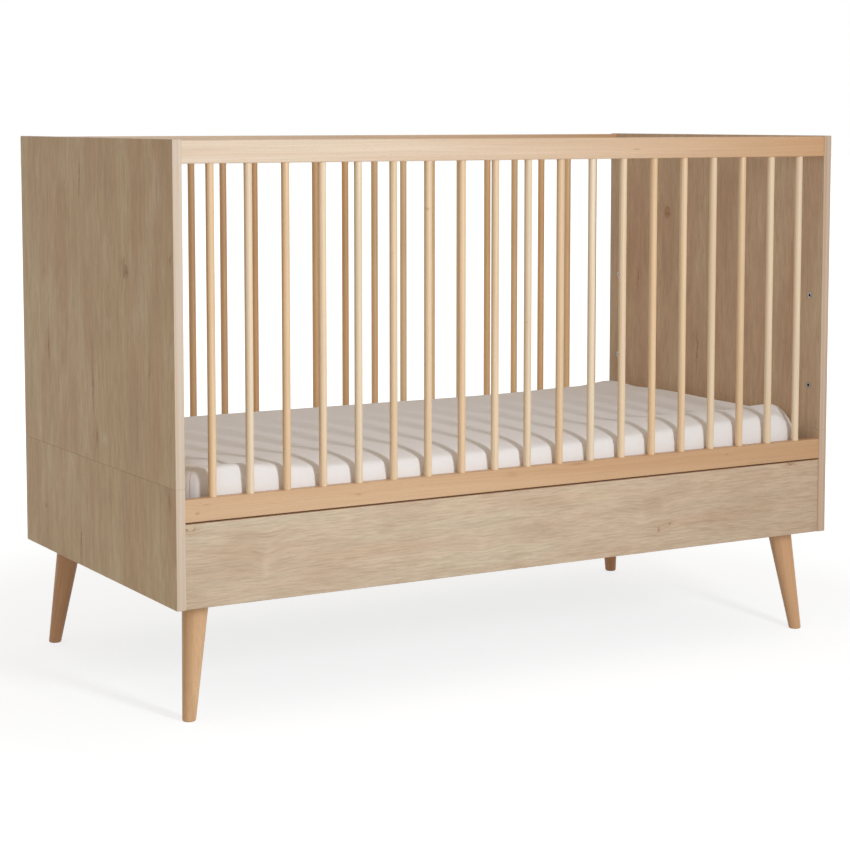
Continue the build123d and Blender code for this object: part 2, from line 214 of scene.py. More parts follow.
# bright zinc with a faint crystal cloud and fine handling marks
zinc_coat, takes, gives = shared_effect(
    "zinc coat",
    [("Place", "Vector"), ("Pale", "Color"), ("Dull", "Color")],
    [("Colour", "Color"), ("Roughness", "Float"), ("Height", "Float")],
)
t = zinc_coat
crystals = cloud(t, takes["Place"], (160, 160, 160), 3, 0.6)
rubs = cloud(t, takes["Place"], (1400, 300, 300), 2, 0.6)
t.links.new(tinted(t, between(t, crystals, 0.35, 0.68), takes["Pale"], takes["Dull"]), gives["Colour"])
t.links.new(between(t, figure(t, crystals, rubs, do="ADD"), 0.7, 1.35, 0.26, 0.48), gives["Roughness"])
t.links.new(rubs, gives["Height"])


def zinc_plated(name, pale=ZINC_PALE, dull=ZINC_DULL):
    """Zinc plating on steel, from its brightest to its dullest grey."""
    material, tree, shader, place = finish_of(name, Metallic=1.0)
    coat = placed(tree, zinc_coat, place=place, pale=pale, dull=dull)
    surfaced(tree, shader, coat["Colour"], coat["Roughness"], coat["Height"], ZINC_RELIEF)
    return material


dress(zinc_plated("zinc plate"), "leg_plates")

pine_block, t, shader, place = finish_of("pine block", Specular_IOR_Level=0.3)
lengthways = lay(t, "Mapping", place, None, (0, math.radians(90), 0))
grain = placed(t, wood_grain, place=lengthways, pale=PINE_PALE, deep=PINE_DEEP)
dry = between(t, grain["Roughness"], 0.4, 0.56, 0.62, 0.8)
surfaced(t, shader, grain["Colour"], dry, grain["Height"], PINE_RELIEF)
dress(pine_block, "corner_blocks")

bpy.ops.object.select_all(action="DESELECT")
bpy.ops.mesh.primitive_cylinder_add(vertices=20, radius=SCREW_RADIUS, depth=PLATE_THICKNESS,
                                    location=(0, 0, PLATE_UNDERSIDE + PLATE_THICKNESS / 2))
screw = bpy.context.object
bpy.ops.object.transform_apply(location=True, rotation=True, scale=True)
bpy.ops.object.mode_set(mode="EDIT")
bpy.ops.mesh.select_mode(type="FACE")
bpy.ops.mesh.select_all(action="DESELECT")
bpy.ops.object.mode_set(mode="OBJECT")
for face in screw.data.polygons:
    face.select = face.normal.z < -0.9
bpy.ops.object.mode_set(mode="EDIT")
under = Vector((0, 0, PLATE_UNDERSIDE))
for drop, grow in SCREW_HEAD_RINGS:
    bpy.ops.mesh.extrude_region_move(
        TRANSFORM_OT_translate={"value": (0, 0, -drop * SCREW_HEAD_HEIGHT)})
    bpy.ops.transform.resize(value=(grow, grow, 1), center_override=under)
bpy.ops.object.mode_set(mode="OBJECT")

bpy.ops.object.select_all(action="DESELECT")
bpy.ops.mesh.primitive_cube_add(size=1, location=(0, 0, PLATE_UNDERSIDE - SCREW_HEAD_HEIGHT))
driver_bit = bpy.context.object
bpy.ops.transform.resize(value=CROSS_SLOT)
bpy.ops.object.transform_apply(location=True, rotation=True, scale=True)
bpy.ops.object.mode_set(mode="EDIT")
bpy.ops.mesh.select_all(action="SELECT")
bpy.ops.mesh.bevel(offset=CROSS_BEVEL, segments=1, affect="EDGES")
bpy.ops.object.mode_set(mode="OBJECT")
for turn in (0, 90):
    driver_bit.data.transform(Matrix.Rotation(math.radians(turn), 4, "Z"))
    cross = screw.modifiers.new("cross", "BOOLEAN")
    cross.operation, cross.solver, cross.object = "DIFFERENCE", "EXACT", driver_bit
    bpy.ops.object.select_all(action="DESELECT")
    bpy.context.view_layer.objects.active = screw
    screw.select_set(True)
    bpy.ops.object.modifier_apply(modifier=cross.name)
bpy.data.objects.remove(driver_bit)
bpy.ops.object.shade_smooth_by_angle(angle=math.radians(40))
screw.data.materials.append(zinc_plated("screw zinc", *SCREW_ZINC))

for side, sx in (("left", -1), ("right", 1)):
    for row, sy in (("front", -1), ("rear", 1)):
        bpy.ops.object.select_all(action="DESELECT")
        four = []
        for dx in (-1, 1):
            for dy in (-1, 1):
                copy = screw.copy()
                copy.data = screw.data.copy()
                turn = math.radians(17 * dx + 31 * dy + 23 * sx)    # no two are driven home alike
                copy.data.transform(Matrix.Rotation(turn, 4, "Z"))
                copy.data.transform(Matrix.Translation(
                    (sx * PLATE_X + dx * SCREW_FROM_CENTRE, sy * PLATE_Y + dy * SCREW_FROM_CENTRE, 0)))
                scene.collection.objects.link(copy)
                copy.select_set(True)
                four.append(copy)
        bpy.context.view_layer.objects.active = four[0]
        bpy.ops.object.join()
        four[0].name = row + "_" + side + "_plate_screws"
        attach(four[0], "frame")
bpy.data.objects.remove(screw)


# End panels. Each end is a lower and an upper board, faced with oak and edge-banded, pinned at the seam.
# The face runs upright, with a few knots and short splits; the banding on the edges is paler and finer.
LEFT_OAK = (0.684, 0.512, 0.282, 1), (0.628, 0.408, 0.222, 1)
RIGHT_OAK = (0.700, 0.538, 0.366, 1), (0.649, 0.434, 0.291, 1)
# the right end's banding is darker than the left's: painted shade, where the light falls off to the right
LEFT_BAND = (0.745, 0.625, 0.505, 1), (0.640, 0.500, 0.365, 1)
RIGHT_BAND_IN_SHADE = (0.680, 0.520, 0.397, 1), (0.565, 0.398, 0.270, 1)
BAND_THREAD = (0.50, 0.36, 0.24, 1)
TONE_BROWN, TONE_PALE = (0.38, 0.25, 0.145, 1), (0.82, 0.67, 0.46, 1)
PATCH_PALE, PATCH_BROWN = (0.80, 0.66, 0.45, 1), (0.42, 0.27, 0.155, 1)
LINE_BROWN, FINE_BROWN = (0.36, 0.235, 0.15, 1), (0.36, 0.235, 0.14, 1)
PORE_BROWN = (0.28, 0.18, 0.11, 1)
MARK_PALE, MARK_BROWN = (0.84, 0.72, 0.54, 1), (0.335, 0.150, 0.056, 1)
PLANED_RELIEF = 0.10, 0.0005
RING_WIDTH = 0.0062                     # from one growth line to the next
KNOT_HALF_WIDTH = 0.004                 # a wider mark is a knot, darkest at its rim; a thin one is a split
PANEL_RUN = 1, 0, 2                     # the axes across, through and along a board: here Y, X and Z
PANEL_MIDDLE, PANEL_SEAM = 0.713, 0.418
SEAM_SHIFT = 2.31                       # moves the figure on below the seam, where another board starts
MARK_THROUGH = 0.2                      # half depth of a mark, which goes right through its board
FAR_SHADE_RANGE = 0.0, 0.7                   # where along a board the painted shade of its far end comes in
PANEL_SWAY, PANEL_LINES = 0.055, 0.20   # how far the growth lines sway, and how strongly they show
# marks of each end: across (y), along (z), half width, half length, how dark (below 0 it is a pale patch),
# and how far it pushes the grain aside
LEFT_END_MARKS = [
    (-0.160, 0.780, 0.0085, 0.0100, 0.42, 0.012),
    (-0.160, 0.778, 0.0036, 0.0030, 0.30, 0.0),
    (-0.158, 0.800, 0.0034, 0.0060, 0.30, 0.004),
    (0.056, 0.944, 0.0022, 0.0300, 0.60, 0.003),
    (0.232, 0.608, 0.0022, 0.0280, 0.60, 0.003),
    (0.003, 0.558, 0.0026, 0.0420, 0.55, 0.004),
    (-0.014, 0.469, 0.0024, 0.0140, 0.70, 0.008),
    (-0.053, 0.465, 0.0130, 0.0110, -0.40, 0.008),
    (-0.265, 0.610, 0.0022, 0.0130, 0.50, 0.004),
    (-0.362, 0.812, 0.0034, 0.0080, 0.45, 0.006),
    (0.258, 0.293, 0.0038, 0.0040, 0.55, 0.004),
    (0.076, 0.249, 0.0026, 0.0380, 0.50, 0.008),
    (-0.072, 0.367, 0.0020, 0.0200, 0.40, 0.003),
    (-0.346, 0.394, 0.0034, 0.0180, 0.35, 0.008),
    (0.200, 0.600, 0.0200, 0.0200, -0.22, 0.0),
    (-0.080, 0.680, 0.0160, 0.0140, -0.22, 0.0),
    (0.130, 0.400, 0.0080, 0.0450, -0.22, 0.0),
]
RIGHT_END_MARKS = [
    (-0.120, 0.905, 0.0022, 0.0330, 0.50, 0.003),
    (0.150, 0.842, 0.0080, 0.0100, 0.40, 0.012),
    (0.150, 0.840, 0.0034, 0.0030, 0.30, 0.0),
    (0.262, 0.690, 0.0022, 0.0280, 0.45, 0.003),
    (-0.215, 0.655, 0.0022, 0.0240, 0.45, 0.004),
    (0.040, 0.545, 0.0026, 0.0360, 0.45, 0.008),
    (-0.300, 0.478, 0.0020, 0.0150, 0.45, 0.004),
    (0.205, 0.318, 0.0075, 0.0095, 0.40, 0.010),
    (-0.060, 0.270, 0.0022, 0.0300, 0.40, 0.004),
    (0.090, 0.700, 0.0180, 0.0200, -0.22, 0.0),
    (-0.180, 0.820, 0.0140, 0.0300, -0.20, 0.0),
]


def fading(tree, square):
    """A soft mask: 1 where the squared distance is nought, falling away with it."""
    return figure(tree, figure(tree, square, -1.0), do="EXPONENT")


def drift(tree, place, waves, reach):
    """A slow wander to either side of nought."""
    return figure(tree, figure(tree, cloud(tree, place, waves), 0.5, do="SUBTRACT"), reach)


# a knot, a split or a pale patch: a soft mask at its place, its rim, and a wider one that pushes the grain
wood_mark, takes, gives = shared_effect(
    "wood mark",
    [("Place", "Vector"), ("Centre", "Vector"), ("Half size", "Vector")],
    [("Mask", "Float"), ("Ring", "Float"), ("Flow", "Float")],
)
t = wood_mark
off = lay(t, "VectorMath", takes["Place"], takes["Centre"], operation="SUBTRACT")
near = lay(t, "VectorMath", off, takes["Half size"], operation="DIVIDE")
near = lay(t, "VectorMath", near, near, operation="DOT_PRODUCT")
t.links.new(fading(t, near), gives["Mask"])
rim = figure(t, figure(t, figure(t, near, 0.5, do="POWER"), 1.0, do="SUBTRACT"), 3.0)
t.links.new(fading(t, figure(t, rim, rim)), gives["Ring"])
wide = lay(t, "VectorMath", takes["Half size"], (2.0, 1.0, 1.4), operation="MULTIPLY")
wide = lay(t, "VectorMath", wide, (0.006, 0.0, 0.012), operation="ADD")
near = lay(t, "VectorMath", off, wide, operation="DIVIDE")
near = lay(t, "VectorMath", near, near, operation="DOT_PRODUCT")
t.links.new(fading(t, near), gives["Flow"])

# the figure of a flat-sawn oak face: swaying growth lines, broad tone bands and open pores
oak_figure, takes, gives = shared_effect(
    "oak figure",
    [("Place", "Vector"), ("Pale", "Color"), ("Deep", "Color"), ("Sway", "Float"), ("Lines", "Float")],
    [("Colour", "Color"), ("Roughness", "Float"), ("Height", "Float")],
)
t = oak_figure
across, depth, along = directions(t, takes["Place"])
sway = drift(t, takes["Place"], (4.5, 9, 0.75), takes["Sway"])
ripple = drift(t, takes["Place"], (21, 14, 3.1), 0.013)
ring = figure(t, across, figure(t, sway, ripple, do="ADD"), do="ADD")
ringed = lay(t, "CombineXYZ", ring, depth, along)
bands = cloud(t, ringed, (19, 16, 1.7), 3, 0.62)
tone = cloud(t, ringed, (85, 36, 8.0), 3, 0.6)
patch = cloud(t, takes["Place"], (13, 13, 6.0), 3, 0.55)
fine = cloud(t, ringed, (310, 120, 26), 3, 0.7)
pores = between(t, cloud(t, ringed, (700, 300, 45), 1), 0.58, 0.80)
shake = figure(t, cloud(t, ringed, (60, 20, 2.4), 2), 11.0)
lines = figure(t, figure(t, ring, 2 * math.pi / RING_WIDTH), shake, do="ADD")
lines = figure(t, figure(t, figure(t, lines, do="SINE"), 0.5), 0.5, do="ADD")
lines = figure(t, figure(t, lines, 3.0, do="POWER"), takes["Lines"])
lines = figure(t, lines, between(t, tone, 0.35, 0.62))
colour = tinted(t, between(t, bands, 0.36, 0.64), takes["Pale"], takes["Deep"])
colour = tinted(t, between(t, tone, 0.48, 0.74, 0.0, 0.20), colour, TONE_BROWN)
colour = tinted(t, between(t, tone, 0.28, 0.48, 0.15, 0.0), colour, TONE_PALE)
colour = tinted(t, between(t, patch, 0.52, 0.72, 0.0, 0.46), colour, PATCH_PALE)
colour = tinted(t, between(t, patch, 0.28, 0.46, 0.28, 0.0), colour, PATCH_BROWN)
colour = tinted(t, figure(t, lines, 0.20), colour, LINE_BROWN)
colour = tinted(t, between(t, fine, 0.40, 0.72, 0.0, 0.40), colour, FINE_BROWN)
colour = tinted(t, figure(t, pores, 0.24), colour, PORE_BROWN)
t.links.new(colour, gives["Colour"])
t.links.new(between(t, fine, 0.25, 0.75, 0.44, 0.60), gives["Roughness"])
t.links.new(figure(t, fine, figure(t, pores, 0.7), do="SUBTRACT"), gives["Height"])


def oak_board(name, run, middle, marks, sway, lines, oak, banding, seam=None, far_end_shade=(1, 1, 1, 1)):
    """Oak-faced board with banded edges: run names its axes, middle is its place through its thickness."""
    material, tree, shader, place = finish_of(name, Specular_IOR_Level=0.35)
    axes = directions(tree, place)
    across, depth, along = (axes[i] for i in run)
    board = lay(tree, "CombineXYZ", across, depth, along)
    # the outline of a mark wavers a little and its dark is torn
    wander = drift(tree, board, (7, 7, 21), 0.016)
    jagged = drift(tree, board, (70, 70, 110), 0.011)
    waver = figure(tree, across, figure(tree, wander, jagged, do="ADD"), do="ADD")
    wavy = lay(tree, "CombineXYZ", waver, depth, along)
    torn = between(tree, cloud(tree, board, (260, 260, 120), 2), 0.32, 0.60, 0.45, 1.5)
    push, dark, pale = 0.0, 0.0, 0.0
    for spot, height, half_width, half_length, tone, moved in marks:
        mark = placed(tree, wood_mark, place=wavy, centre=(spot, middle, height),
                      half_size=(half_width, MARK_THROUGH, half_length))
        push = figure(tree, figure(tree, mark["Flow"], moved), push, do="ADD")
        if tone < 0:
            pale = figure(tree, figure(tree, mark["Mask"], -tone), pale, do="ADD")
        else:
            shape = mark["Mask"]
            if half_width > KNOT_HALF_WIDTH:
                shape = figure(tree, figure(tree, shape, 0.7), figure(tree, mark["Ring"], 0.6), do="ADD")
            shape = figure(tree, figure(tree, shape, torn), figure(tree, mark["Flow"], 0.22), do="ADD")
            dark = figure(tree, figure(tree, shape, tone), dark, do="ADD")
    shift = depth
    if seam is not None:
        below = figure(tree, along, seam, do="LESS_THAN")
        shift = figure(tree, figure(tree, below, SEAM_SHIFT), shift, do="ADD")
    grown = lay(tree, "CombineXYZ", figure(tree, across, push, do="ADD"), shift, along)
    face = placed(tree, oak_figure, place=grown, pale=oak[0], deep=oak[1], sway=sway, lines=lines)
    colour = tinted(tree, pale, face["Colour"], MARK_PALE)
    colour = tinted(tree, figure(tree, dark, 1.15, limit=True), colour, MARK_BROWN)
    # painted shade: the board darkens towards its far end, where the light falls off
    shaded_far_end = tinted(tree, 1.0, colour, far_end_shade, "MULTIPLY")
    colour = tinted(tree, between(tree, along, *FAR_SHADE_RANGE), colour, shaded_far_end)
    # banding wherever the board does not face out
    facing = tree.nodes.new("ShaderNodeTexCoord").outputs["Normal"]
    facing = figure(tree, lay(tree, "SeparateXYZ", facing, out=run[1]), do="ABSOLUTE")
    edge = between(tree, facing, 0.55, 0.75, 1.0, 0.0)
    strip = lay(tree, "CombineXYZ", figure(tree, across, along, do="ADD"), depth, 0.0)
    band = cloud(tree, strip, (1.1, 190, 1), 2, 0.6)
    band = tinted(tree, between(tree, band, 0.36, 0.66), *banding)
    thread = cloud(tree, strip, (5, 1500, 1), 1)
    band = tinted(tree, between(tree, thread, 0.45, 0.75, 0.0, 0.22), band, BAND_THREAD)
    surfaced(tree, shader, tinted(tree, edge, colour, band), face["Roughness"], face["Height"], PLANED_RELIEF)
    return material


left_oak = oak_board("oak board, left end", PANEL_RUN, -PANEL_MIDDLE, LEFT_END_MARKS,
                     PANEL_SWAY, PANEL_LINES, LEFT_OAK, LEFT_BAND, PANEL_SEAM)
right_oak = oak_board("oak board, right end", PANEL_RUN, PANEL_MIDDLE, RIGHT_END_MARKS,
                      PANEL_SWAY, PANEL_LINES, RIGHT_OAK, RIGHT_BAND_IN_SHADE, PANEL_SEAM)
dress(left_oak, "left_lower_panel", "left_upper_panel")
dress(right_oak, "right_lower_panel", "right_upper_panel")


# Plinths. A board of the same oak-faced stock on edge under each slatted side, pinned to the ends.
# Its face is laid lengthways and shows the arched figure of a flat-sawn plank; its edges are left raw.
PLINTH_OAK = (0.688, 0.570, 0.420, 1), (0.662, 0.497, 0.353, 1)
# raw edges; their warm tone is set for the shadow gap under the rails and stands in for light bounced into
# it: partly painted light
RAW_EDGE_AND_GAP_LIGHT = (0.74, 0.52, 0.34, 1), (0.64, 0.43, 0.27, 1)
PLINTH_RIGHT_SHADE = (0.94, 0.88, 0.86, 1)     # the painted shade of its right end, where the light falls off
PLINTH_RUN = 2, 1, 0                    # across it is Z, through it Y, along it X
PLINTH_MIDDLE = 0.360
PLINTH_SWAY, PLINTH_LINES = 0.06, 0.70
# marks of each plinth, listed as those of the ends: across (z), along (x) and so on
FRONT_PLINTH_MARKS = [
    (0.347, -0.702, 0.0030, 0.0040, 0.60, 0.005),
    (0.347, -0.687, 0.0022, 0.0030, 0.50, 0.004),
    (0.265, -0.551, 0.0170, 0.0080, -0.28, 0.006),
    (0.300, -0.545, 0.0120, 0.0110, -0.18, 0.004),
    (0.256, -0.104, 0.0130, 0.0120, -0.22, 0.007),
    (0.263, 0.329, 0.0018, 0.0022, 0.55, 0.003),
    (0.250, 0.302, 0.0038, 0.0024, 0.45, 0.006),
    (0.280, 0.262, 0.0150, 0.0120, -0.24, 0.008),
    (0.300, 0.318, 0.0110, 0.0100, -0.22, 0.006),
    (0.352, 0.632, 0.0022, 0.0120, 0.50, 0.005),
]
REAR_PLINTH_MARKS = [
    (0.300, -0.420, 0.0035, 0.0040, 0.50, 0.006),
    (0.270, 0.060, 0.0130, 0.0110, -0.24, 0.008),
    (0.318, 0.480, 0.0022, 0.0090, 0.45, 0.005),
]
front_oak = oak_board("oak board, front plinth", PLINTH_RUN, -PLINTH_MIDDLE, FRONT_PLINTH_MARKS,
                      PLINTH_SWAY, PLINTH_LINES, PLINTH_OAK, RAW_EDGE_AND_GAP_LIGHT, far_end_shade=PLINTH_RIGHT_SHADE)
rear_oak = oak_board("oak board, rear plinth", PLINTH_RUN, PLINTH_MIDDLE, REAR_PLINTH_MARKS,
                     PLINTH_SWAY, PLINTH_LINES, PLINTH_OAK, RAW_EDGE_AND_GAP_LIGHT, far_end_shade=PLINTH_RIGHT_SHADE)
dress(front_oak, "front_plinth")
dress(rear_oak, "rear_plinth")


# Rails. The slatted sides' top and bottom rails, solid beech planed with eased edges and pinned to the ends.
# The grain runs lengthways, with a few pin knots and short brown streaks; the wood is paler at the left and
# darker to the right: painted light falloff.
# each rail's colour at its left and right end: painted light at the left, painted shade at the right
BOTTOM_RAIL_LIT_TO_SHADED = (0.748, 0.510, 0.314, 1), (0.650, 0.397, 0.215, 1)
TOP_RAIL_LIT_TO_SHADED = (0.836, 0.687, 0.532, 1), (0.728, 0.447, 0.244, 1)
BEECH_STREAK = (0.85, 0.76, 0.67, 1)    # what the deep grain keeps of the pale
RAIL_KNOT = (0.27, 0.12, 0.05, 1)
RAIL_PUSH, RAIL_BOW = 0.004, 0.02       # how far a mark pushes the grain, and how far the grain bows
RAIL_MARK_THROUGH = 0.1
RAIL_LIGHT_FALLOFF = -0.3, 0.75                # where the painted light of the left end gives way to the painted shade of the right end
# pin knots and streaks: depth (y), height (z), along (x), half width, half length, how dark
RAIL_MARKS = [
    (-0.360, 0.374, -0.681, 0.0022, 0.0040, 0.45), (-0.360, 0.388, -0.664, 0.0010, 0.0060, 0.40),
    (-0.360, 0.380, -0.366, 0.0014, 0.0060, 0.40), (-0.360, 0.396, 0.110, 0.0022, 0.0220, 0.40),
    (-0.360, 0.386, 0.468, 0.0018, 0.0026, 0.45), (-0.360, 0.389, -0.040, 0.0050, 0.0120, 0.18),
    (-0.360, 0.992, 0.240, 0.0014, 0.0080, 0.40), (0.360, 0.996, -0.310, 0.0018, 0.0030, 0.45),
    (0.360, 0.378, 0.190, 0.0016, 0.0080, 0.40), (0.360, 0.990, 0.520, 0.0012, 0.0100, 0.35),
]


def planed_beech(name, lit_left_wood, shaded_right_wood):
    """Planed solid beech along X, its colour going from the lit left end to the shaded right end: painted
    light falloff.
    """
    material, tree, shader, place = finish_of(name, Specular_IOR_Level=0.4)
    x, y, z = directions(tree, place)
    rail = lay(tree, "CombineXYZ", z, y, x)
    push, dark = 0.0, 0.0
    for depth, height, along, half_width, half_length, tone in RAIL_MARKS:
        mark = placed(tree, wood_mark, place=rail, centre=(height, depth, along),
                      half_size=(half_width, RAIL_MARK_THROUGH, half_length))
        push = figure(tree, figure(tree, mark["Flow"], RAIL_PUSH), push, do="ADD")
        dark = figure(tree, figure(tree, mark["Mask"], tone), dark, do="ADD")
    bow = drift(tree, rail, (3, 3, 1.6), RAIL_BOW)
    bent = figure(tree, figure(tree, z, push, do="ADD"), bow, do="ADD")
    # painted light falloff: paler at the left end, darker at the right
    pale = tinted(tree, between(tree, x, *RAIL_LIGHT_FALLOFF), lit_left_wood, shaded_right_wood)
    deep = tinted(tree, 1.0, pale, BEECH_STREAK, "MULTIPLY")
    bent_rail = lay(tree, "CombineXYZ", bent, y, x)
    grain = placed(tree, wood_grain, place=bent_rail, pale=pale, deep=deep)
    colour = tinted(tree, figure(tree, dark, 1.0, limit=True), grain["Colour"], RAIL_KNOT)
    surfaced(tree, shader, colour, grain["Roughness"], grain["Height"], PLANED_RELIEF)
    return material


bottom_beech = planed_beech("planed beech, bottom rails", *BOTTOM_RAIL_LIT_TO_SHADED)
top_beech = planed_beech("planed beech, top rails", *TOP_RAIL_LIT_TO_SHADED)
dress(bottom_beech, "front_bottom_rail", "rear_bottom_rail")
dress(top_beech, "front_top_rail", "rear_top_rail")


# Spindles. Nineteen round beech dowels a side, glued into the rails' sockets. Each is cut from its own
# stick, so each has its own tone and its own grain, and two show a pin knot. The rear row is darkened,
# most towards its left end: painted shade, where less light reaches it.
SPINDLES_A_SIDE, SPINDLE_PITCH = 19, 0.072
SPINDLE_PALE, SPINDLE_WARM = (0.940, 0.805, 0.605, 1), (0.940, 0.795, 0.640, 1)
REAR_LEFT_SHADE, REAR_RIGHT_SHADE = (0.79, 0.63, 0.48, 1), (1.00, 0.91, 0.76, 1)
REAR_SHADE_CHANGE = -0.25, 0.25               # where the rear row's painted shade goes from the one to the other
SPINDLE_KNOT, KNOT_THROUGH = (0.42, 0.20, 0.07, 1), 0.05
STICK_DRAW, STICK_SHIFT = 935.0, 9.0    # picks each stick's tone, and moves its grain along
# pin knots: along (x), depth (y), height (z), half width, half height, how dark
SPINDLE_KNOTS = [
    (-0.220, -0.360, 0.888, 0.0030, 0.0026, 0.50),
    (-0.004, -0.360, 0.672, 0.0024, 0.0020, 0.30),
]
dowel_beech, t, shader, place = finish_of("dowel beech", Specular_IOR_Level=0.6)
x, y, z = directions(t, place)
stick = figure(t, figure(t, x, 1 / SPINDLE_PITCH), do="ROUND")
at_rear = figure(t, y, 0.0, do="GREATER_THAN")
own = lay(t, "TexWhiteNoise", lay(t, "CombineXYZ", stick, at_rear, STICK_DRAW), noise_dimensions="3D")
shifted = lay(t, "CombineXYZ", x, y, figure(t, figure(t, own, STICK_SHIFT), z, do="ADD"))
deep = tuple(a * b for a, b in zip(SPINDLE_PALE, BEECH_STREAK))
grain = placed(t, wood_grain, place=shifted, pale=SPINDLE_PALE, deep=deep)
colour = tinted(t, own, grain["Colour"], SPINDLE_WARM, "MULTIPLY")
# painted shade over the rear row, deepest towards its left end
rear_shade = tinted(t, between(t, x, *REAR_SHADE_CHANGE), REAR_LEFT_SHADE, REAR_RIGHT_SHADE)
colour = tinted(t, at_rear, colour, rear_shade, "MULTIPLY")
for along, depth, height, half_width, half_height, tone in SPINDLE_KNOTS:
    knot = placed(t, wood_mark, place=place, centre=(along, depth, height),
                  half_size=(half_width, KNOT_THROUGH, half_height))
    colour = tinted(t, figure(t, knot["Mask"], tone), colour, SPINDLE_KNOT)
surfaced(t, shader, colour, grain["Roughness"], grain["Height"], PLANED_RELIEF)
for row in ("front", "rear"):
    dress(dowel_beech, *(f"{row}_spindle_{i:02d}" for i in range(1, SPINDLES_A_SIDE + 1)))


# Fittings. Zinc-plated connector pins, threaded inserts with a flange in the ends' inner faces,
# and the support bolts that stand in the lowest four inserts and carry the base.
INSERT_ZINC = (0.44, 0.44, 0.43, 1), (0.31, 0.31, 0.31, 1)
BOLT_ZINC = (0.70, 0.69, 0.65, 1), (0.50, 0.50, 0.48, 1)
dress(zinc_plated("pin zinc"), "connector_pins")
dress(zinc_plated("insert zinc", *INSERT_ZINC), "threaded_inserts")
dress(zinc_plated("bolt zinc", *BOLT_ZINC), "support_bolts")


# Mattress base. Four rails of plain pale softwood with twelve slats across them, left unfinished,
# resting on the support bolts in saddles cut in the long rails.
SLAT_WOOD = (0.80, 0.66, 0.45, 1), (0.68, 0.50, 0.29, 1)
BASE_RAIL_WOOD = (0.78, 0.62, 0.40, 1), (0.66, 0.46, 0.25, 1)
SLAT_RUN, BASE_RAIL_RUN = (0, 2, 1), (2, 1, 0)      # the axes across, through and along: along Y, along X
RAW_RELIEF = 0.25, 0.0008


def raw_softwood(name, run, pale, deep):
    """Unfinished softwood, its grain along the last axis of run."""
    material, tree, shader, place = finish_of(name, Specular_IOR_Level=0.25)
    axes = directions(tree, place)
    lengthways = lay(tree, "CombineXYZ", *(axes[i] for i in run))
    grain = placed(tree, wood_grain, place=lengthways, pale=pale, deep=deep)
    dry = between(tree, grain["Roughness"], 0.4, 0.56, 0.60, 0.78)
    surfaced(tree, shader, grain["Colour"], dry, grain["Height"], RAW_RELIEF)
    return material


dress(raw_softwood("raw slat wood", SLAT_RUN, *SLAT_WOOD), "base_slats")
dress(raw_softwood("raw rail wood", BASE_RAIL_RUN, *BASE_RAIL_WOOD), "base_rails")


# Mattress. A foam mattress in a fitted sheet of white cotton, pulled over it and gathered underneath.
# It is the CAD form blown up a little as cloth, with the pull of the sheet along its rim and at its corners.
SHEET_SMALLER, SHEET_SWELL = 0.003, 0.006
SHEET_HALF_LENGTH, SHEET_HALF_WIDTH = 0.7005, 0.3490
CLOTH_MESH, CLOTH_MASS, CLOTH_PRESSURE, CLOTH_STEPS = 0.010, 0.3, 4.0, 20
HELD_HEIGHT = 0.004                     # the lowest of the cloth is held, where it lies on the slats
# how high the sheet stands: along the front, the rear and the ends, more to the right,
# more on the front rim at the left, in the middle, and in its slack waves
FRONT_LOFT, REAR_LOFT, END_LOFT = 0.009, 0.008, 0.006
RIGHT_LOFT, LEFT_LOFT, CROWN, WAVES = 0.018, 0.018, 0.011, 0.003
REAR_RIGHT_SHARE, END_RIGHT_SHARE = 0.33, 0.7       # of RIGHT_LOFT
# where these start and where they are full, out from the middle
FRONT_RISE, REAR_RISE, END_RISE = (0.17, 0.30), (0.18, 0.31), (0.52, 0.67)
RIGHT_RISE, REAR_RIGHT_RISE = (0.05, 0.60), (0.35, 0.62)
LEFT_RISE, LEFT_RIM = (0.40, 0.62), (0.285, 0.335)
LOFT_FROM, LOFT_FULL = 0.02, 0.012                  # above the underside, and below the top
SLACK_X, SLACK_Y, SLACK_DRAW = 3.1, 4.7, 1.7        # waves per metre, and which slice of the noise
CORNER_RADIUS, SHARP_REACH = 0.085, 0.0987          # of the sheet, and of the CAD form's sharper corner
CORNER_FALL, RIGHT_CORNER_FALL = 0.012, 2.2         # the second is how many times more at the right
EDGE_ROUND, EDGE_SQUARE = 0.030, 3.2
SIDE_BULGE, BULGE_RISE = 0.003, (0.30, 0.34)
SEAM_END, SEAM_SIDE, SEAM_WIDTH, SEAM_START = 0.648, 0.297, 0.0018, (0.012, 0.022)
COTTON_WHITE, COTTON_SLUB = (0.895, 0.872, 0.865, 1), (0.84, 0.812, 0.798, 1)
# painted shade along the seam's groove
SEAM_PAINTED_SHADE = (0.52, 0.48, 0.45, 1)
COTTON_RELIEF = 0.35, 0.006
low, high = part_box("mattress")
bpy.ops.object.select_all(action="DESELECT")
mattress = bpy.data.objects.new("mattress_in_sheet", cot["mattress"].data.copy())
scene.collection.objects.link(mattress)
bpy.context.view_layer.objects.active = mattress
mattress.select_set(True)
mattress.data.materials.clear()
bpy.ops.object.mode_set(mode="EDIT")
bpy.ops.mesh.select_all(action="SELECT")
bpy.ops.mesh.remove_doubles(threshold=0.0001)
bpy.ops.object.mode_set(mode="OBJECT")
remesh = mattress.modifiers.new("even mesh", "REMESH")
remesh.mode, remesh.voxel_size = "VOXEL", CLOTH_MESH
bpy.ops.object.modifier_apply(modifier=remesh.name)
soften = mattress.modifiers.new("soft edges", "SMOOTH")
soften.factor, soften.iterations = 0.5, 2
bpy.ops.object.modifier_apply(modifier=soften.name)
for point in mattress.data.vertices:
    point.co.x *= 1 - SHEET_SMALLER / high.x
    point.co.y *= 1 - SHEET_SMALLER / high.y
start = [point.co.copy() for point in mattress.data.vertices]
held = mattress.vertex_groups.new(name="held")
held.add([p.index for p in mattress.data.vertices if p.co.z < low.z + HELD_HEIGHT], 1.0, "REPLACE")
